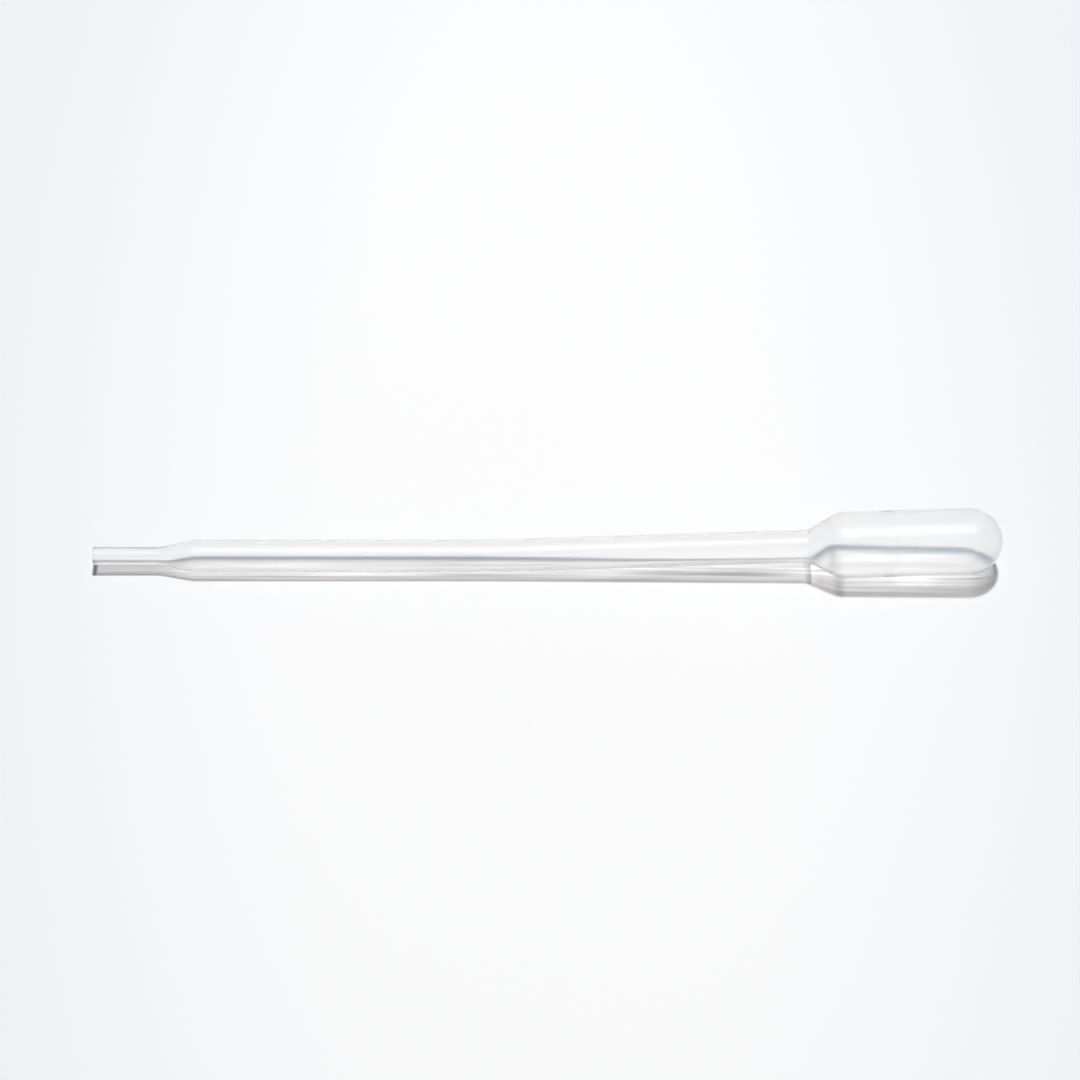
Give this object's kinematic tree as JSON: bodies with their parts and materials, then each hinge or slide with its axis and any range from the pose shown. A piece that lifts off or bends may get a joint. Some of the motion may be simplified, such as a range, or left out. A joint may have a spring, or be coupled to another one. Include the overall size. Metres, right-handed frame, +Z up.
{
  "type": "dropper pipette",
  "caption": "One-piece soft plastic dropper pipette: narrow open tip, long hollow stem and a squeeze bulb with a round closed end.",
  "frame": {"origin": "on the ground the pipette lies on, under the middle of its length and width", "axes": "+X along the stem from the tip to the bulb, +Z up, +Y across, away from a viewer who sees the tip on the left"},
  "size_m": [0.15, 0.011, 0.012],
  "materials": {
    "clear_polyethylene": "soft translucent polyethylene, faintly milky, smooth moulded gloss with fine lengthwise draw lines"
  },
  "bodies": {
    "root": {"pipette": "clear_polyethylene"}
  },
  "joints": []
}
